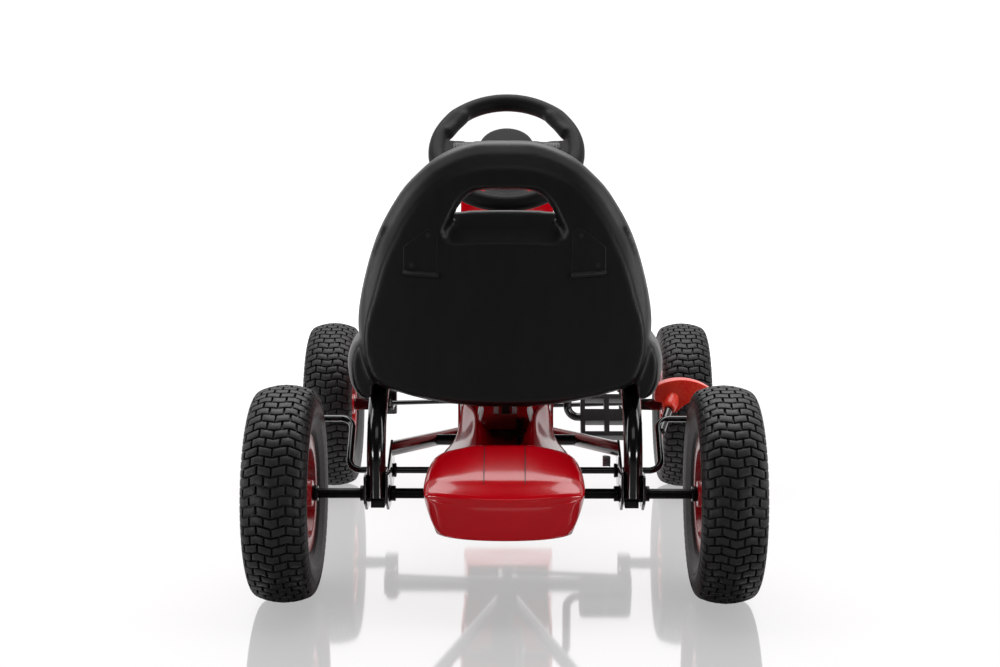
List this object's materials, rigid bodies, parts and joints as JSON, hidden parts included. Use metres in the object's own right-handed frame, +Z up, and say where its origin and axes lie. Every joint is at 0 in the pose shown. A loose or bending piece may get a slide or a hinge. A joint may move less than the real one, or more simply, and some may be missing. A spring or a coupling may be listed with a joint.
{
  "type": "pedal go kart",
  "caption": "Child's four-wheeled pedal go kart with a tube frame, moulded seat, steering wheel, chain drive, brake lever and tail cover.",
  "frame": {"origin": "on the ground under the middle of the kart", "axes": "+Z up, +Y forward along the kart, +X to the rider's right"},
  "size_m": [0.6152, 0.97, 0.5994],
  "materials": {
    "frame_paint": "gloss",
    "plate_paint": "gloss",
    "seat_plastic": "satin",
    "cover_plastic": "gloss",
    "grip_plastic": "satin",
    "tyre_rubber": "matte",
    "tube_rubber": "matte",
    "rim_plastic": "gloss",
    "cap_plastic": "satin",
    "axle_steel": "black oxide",
    "zinc_steel": "zinc plated",
    "nylon": "satin",
    "steering_plastic": "satin",
    "pedal_plastic": "satin",
    "chain_steel": "oiled"
  },
  "bodies": {
    "frame": {"main_tube": "frame_paint", "fork_tube_left": "frame_paint", "fork_tube_right": "frame_paint", "cover_cross_tube": "frame_paint", "seat_hoop_left": "frame_paint", "seat_hoop_right": "frame_paint", "axle_bracket_left": "plate_paint", "axle_bracket_right": "plate_paint", "rear_bearings": "nylon", "front_beam": "frame_paint", "column_tube": "frame_paint", "plain_bushes": "nylon", "crank_bracket": "frame_paint", "brake_bushes": "nylon", "brake_spring": "zinc_steel", "seat_shell": "seat_plastic", "seat_bolts": "zinc_steel", "tail_cover": "cover_plastic", "tunnel_cover": "cover_plastic", "steering_cowl": "cover_plastic", "nose_cone": "cover_plastic", "cover_screws": "zinc_steel", "chain": "chain_steel"},
    "rear_axle_set": {"rear_axle": "axle_steel", "axle_collars": "axle_steel", "axle_sprocket": "zinc_steel", "rear_push_nuts": "zinc_steel", "rear_rim_right": "rim_plastic", "rear_tyre_right": "tyre_rubber", "rear_inner_tube_right": "tube_rubber", "rear_hub_cap_right": "cap_plastic"},
    "rear_wheel_left": {"rear_rim_left": "rim_plastic", "rear_tyre_left": "tyre_rubber", "rear_inner_tube_left": "tube_rubber", "rear_hub_cap_left": "cap_plastic"},
    "steering": {"pitman_arm": "plate_paint", "steering_column": "axle_steel", "steering_wheel": "steering_plastic", "steering_hub_pad": "steering_plastic"},
    "crank_set": {"crank": "frame_paint", "chainring": "zinc_steel"},
    "pedal_left_set": {"pedal_left": "pedal_plastic"},
    "pedal_right_set": {"pedal_right": "pedal_plastic"},
    "brake_lever_set": {"brake_bar": "frame_paint", "brake_lever": "frame_paint", "brake_grip": "grip_plastic"},
    "knuckle_left_set": {"knuckle_left": "plate_paint", "knuckle_nuts_left": "zinc_steel"},
    "tie_rod_left_set": {"tie_rod_left": "zinc_steel"},
    "front_wheel_left": {"front_rim_left": "rim_plastic", "front_tyre_left": "tyre_rubber", "front_inner_tube_left": "tube_rubber", "front_hub_cap_left": "cap_plastic"},
    "knuckle_right_set": {"knuckle_right": "plate_paint", "knuckle_nuts_right": "zinc_steel"},
    "tie_rod_right_set": {"tie_rod_right": "zinc_steel"},
    "front_wheel_right": {"front_rim_right": "rim_plastic", "front_tyre_right": "tyre_rubber", "front_inner_tube_right": "tube_rubber", "front_hub_cap_right": "cap_plastic"}
  },
  "joints": [
    {"name": "rear_axle_spin", "type": "hinge", "parent": "frame", "child": "rear_axle_set", "pos_m": [0, -0.358, 0.127], "axis": [1, 0, 0], "continuous": true},
    {"name": "rear_wheel_left_spin", "type": "hinge", "parent": "rear_axle_set", "child": "rear_wheel_left", "pos_m": [-0.2555, -0.358, 0.127], "axis": [1, 0, 0], "continuous": true},
    {"name": "crank_spin", "type": "hinge", "parent": "frame", "child": "crank_set", "pos_m": [0, 0.127, 0.225], "axis": [1, 0, 0], "continuous": true},
    {"name": "pedal_left_spin", "type": "hinge", "parent": "crank_set", "child": "pedal_left_set", "pos_m": [-0.107, 0.127, 0.315], "axis": [1, 0, 0], "continuous": true},
    {"name": "pedal_right_spin", "type": "hinge", "parent": "crank_set", "child": "pedal_right_set", "pos_m": [0.107, 0.127, 0.135], "axis": [1, 0, 0], "continuous": true},
    {"name": "steering_turn", "type": "hinge", "parent": "frame", "child": "steering", "pos_m": [0, 0.26758, 0.15437], "axis": [0, -0.6561, 0.7547], "range_deg": [-33, 33]},
    {"name": "brake_pull", "type": "hinge", "parent": "frame", "child": "brake_lever_set", "pos_m": [0, -0.296, 0.142], "axis": [1, 0, 0], "range_deg": [0, 11], "stiffness_Nm_per_rad": 1, "springref_deg": -8.59, "deforming": ["brake_spring"]},
    {"name": "kingpin_left", "type": "hinge", "parent": "frame", "child": "knuckle_left_set", "pos_m": [-0.183, 0.292, 0.162], "axis": [0, 0, 1], "range_deg": [-19.81, 19.81]},
    {"name": "tie_rod_left_turn", "type": "hinge", "parent": "knuckle_left_set", "child": "tie_rod_left_set", "pos_m": [-0.183, 0.24644, 0.136], "axis": [0, 0, 1], "range_deg": [-19.81, 19.81]},
    {"name": "front_wheel_left_spin", "type": "hinge", "parent": "knuckle_left_set", "child": "front_wheel_left", "pos_m": [-0.2705, 0.292, 0.127], "axis": [1, 0, 0], "continuous": true},
    {"name": "kingpin_right", "type": "hinge", "parent": "frame", "child": "knuckle_right_set", "pos_m": [0.183, 0.292, 0.162], "axis": [0, 0, 1], "range_deg": [-19.81, 19.81]},
    {"name": "tie_rod_right_turn", "type": "hinge", "parent": "knuckle_right_set", "child": "tie_rod_right_set", "pos_m": [0.183, 0.24644, 0.136], "axis": [0, 0, 1], "range_deg": [-19.81, 19.81]},
    {"name": "front_wheel_right_spin", "type": "hinge", "parent": "knuckle_right_set", "child": "front_wheel_right", "pos_m": [0.2705, 0.292, 0.127], "axis": [1, 0, 0], "continuous": true}
  ],
  "couplings": [
    {"joint": "crank_spin", "follows": "rear_axle_spin", "ratio": 0.6},
    {"joint": "kingpin_left", "follows": "steering_turn", "ratio": 0.5989},
    {"joint": "tie_rod_left_turn", "follows": "steering_turn", "ratio": -0.5989},
    {"joint": "kingpin_right", "follows": "steering_turn", "ratio": 0.5989},
    {"joint": "tie_rod_right_turn", "follows": "steering_turn", "ratio": -0.5989}
  ]
}
